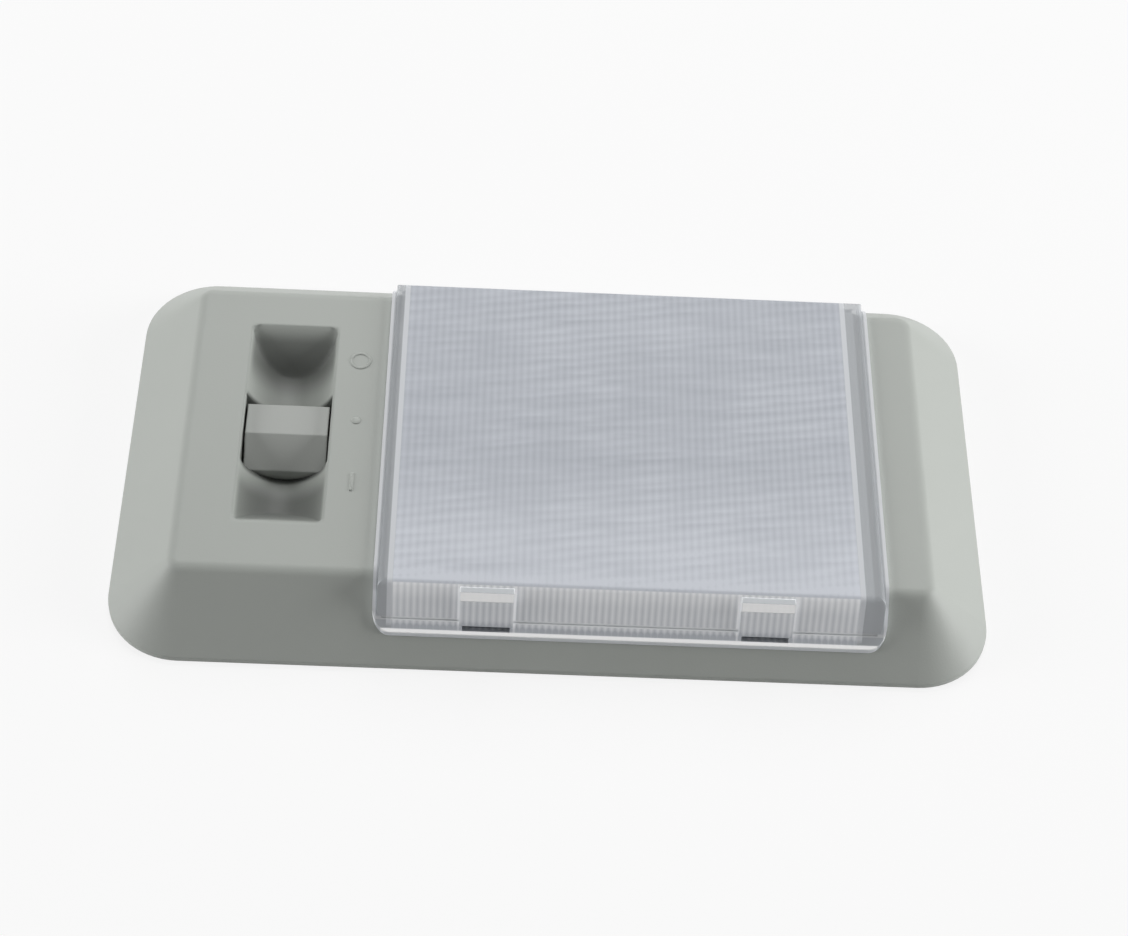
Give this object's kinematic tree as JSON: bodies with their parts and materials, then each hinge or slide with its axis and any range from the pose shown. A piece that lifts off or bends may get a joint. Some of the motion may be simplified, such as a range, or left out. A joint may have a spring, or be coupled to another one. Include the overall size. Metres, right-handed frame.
{
  "type": "car dome light",
  "caption": "Long rectangular car roof lamp with sloped sides, a clear ribbed snap-in lens and a rocker switch in a finger trough.",
  "frame": {"origin": "centre of the rectangle of the housing's base rim, in the plane that lies on the roof panel", "axes": "+Z out of the lens into the car, +X along the housing towards the lens end, +Y away from the side with the two snap tabs"},
  "size_m": [0.17, 0.095, 0.0155],
  "materials": {
    "housing": "fine matt moulded grain, light warm grey",
    "lens": "clear moulded plastic with fine prism ribs",
    "rocker": "matt moulded grey plastic",
    "base": "black moulded nylon",
    "contact": "stamped strip, lightly dulled",
    "steel": "bright drawn steel",
    "reflector": "white enamelled sheet",
    "bulb_glass": "clear thin glass",
    "bulb_cap": "nickel plated pressed cap"
  },
  "bodies": {
    "lamp": {"housing": "housing", "terminal_base": "base", "door_contact": "contact", "ground_contact": "contact", "feed_strip": "contact", "common_strip": "contact", "reflector": "reflector", "bulb_glass": "bulb_glass", "bulb_cap_left": "bulb_cap", "bulb_cap_right": "bulb_cap", "bulb_filament": "steel", "bulb_clip_left": "contact", "bulb_clip_right": "contact", "clip_rivet_left": "steel", "clip_rivet_right": "steel"},
    "lens_cover": {"lens": "lens"},
    "rocker": {"switch_rocker": "rocker", "detent_spring": "steel", "detent_plunger": "steel"},
    "see_saw": {"moving_contact": "contact"}
  },
  "joints": [
    {"name": "lens_open", "type": "hinge", "parent": "lamp", "child": "lens_cover", "pos_m": [0.015, 0.0435, 0.0052], "axis": [-1, 0, 0], "range_deg": [0, 55]},
    {"name": "rocker_tilt", "type": "hinge", "parent": "lamp", "child": "rocker", "pos_m": [-0.053, 0.0004, 0.0068], "axis": [1, 0, 0], "range_deg": [-28, 0]},
    {"name": "contact_tilt", "type": "hinge", "parent": "lamp", "child": "see_saw", "pos_m": [-0.053, 0.0004, 0.0036], "axis": [1, 0, 0], "range_deg": [0, 21]}
  ],
  "couplings": [
    {"joint": "contact_tilt", "follows": "rocker_tilt", "ratio": -0.75}
  ]
}
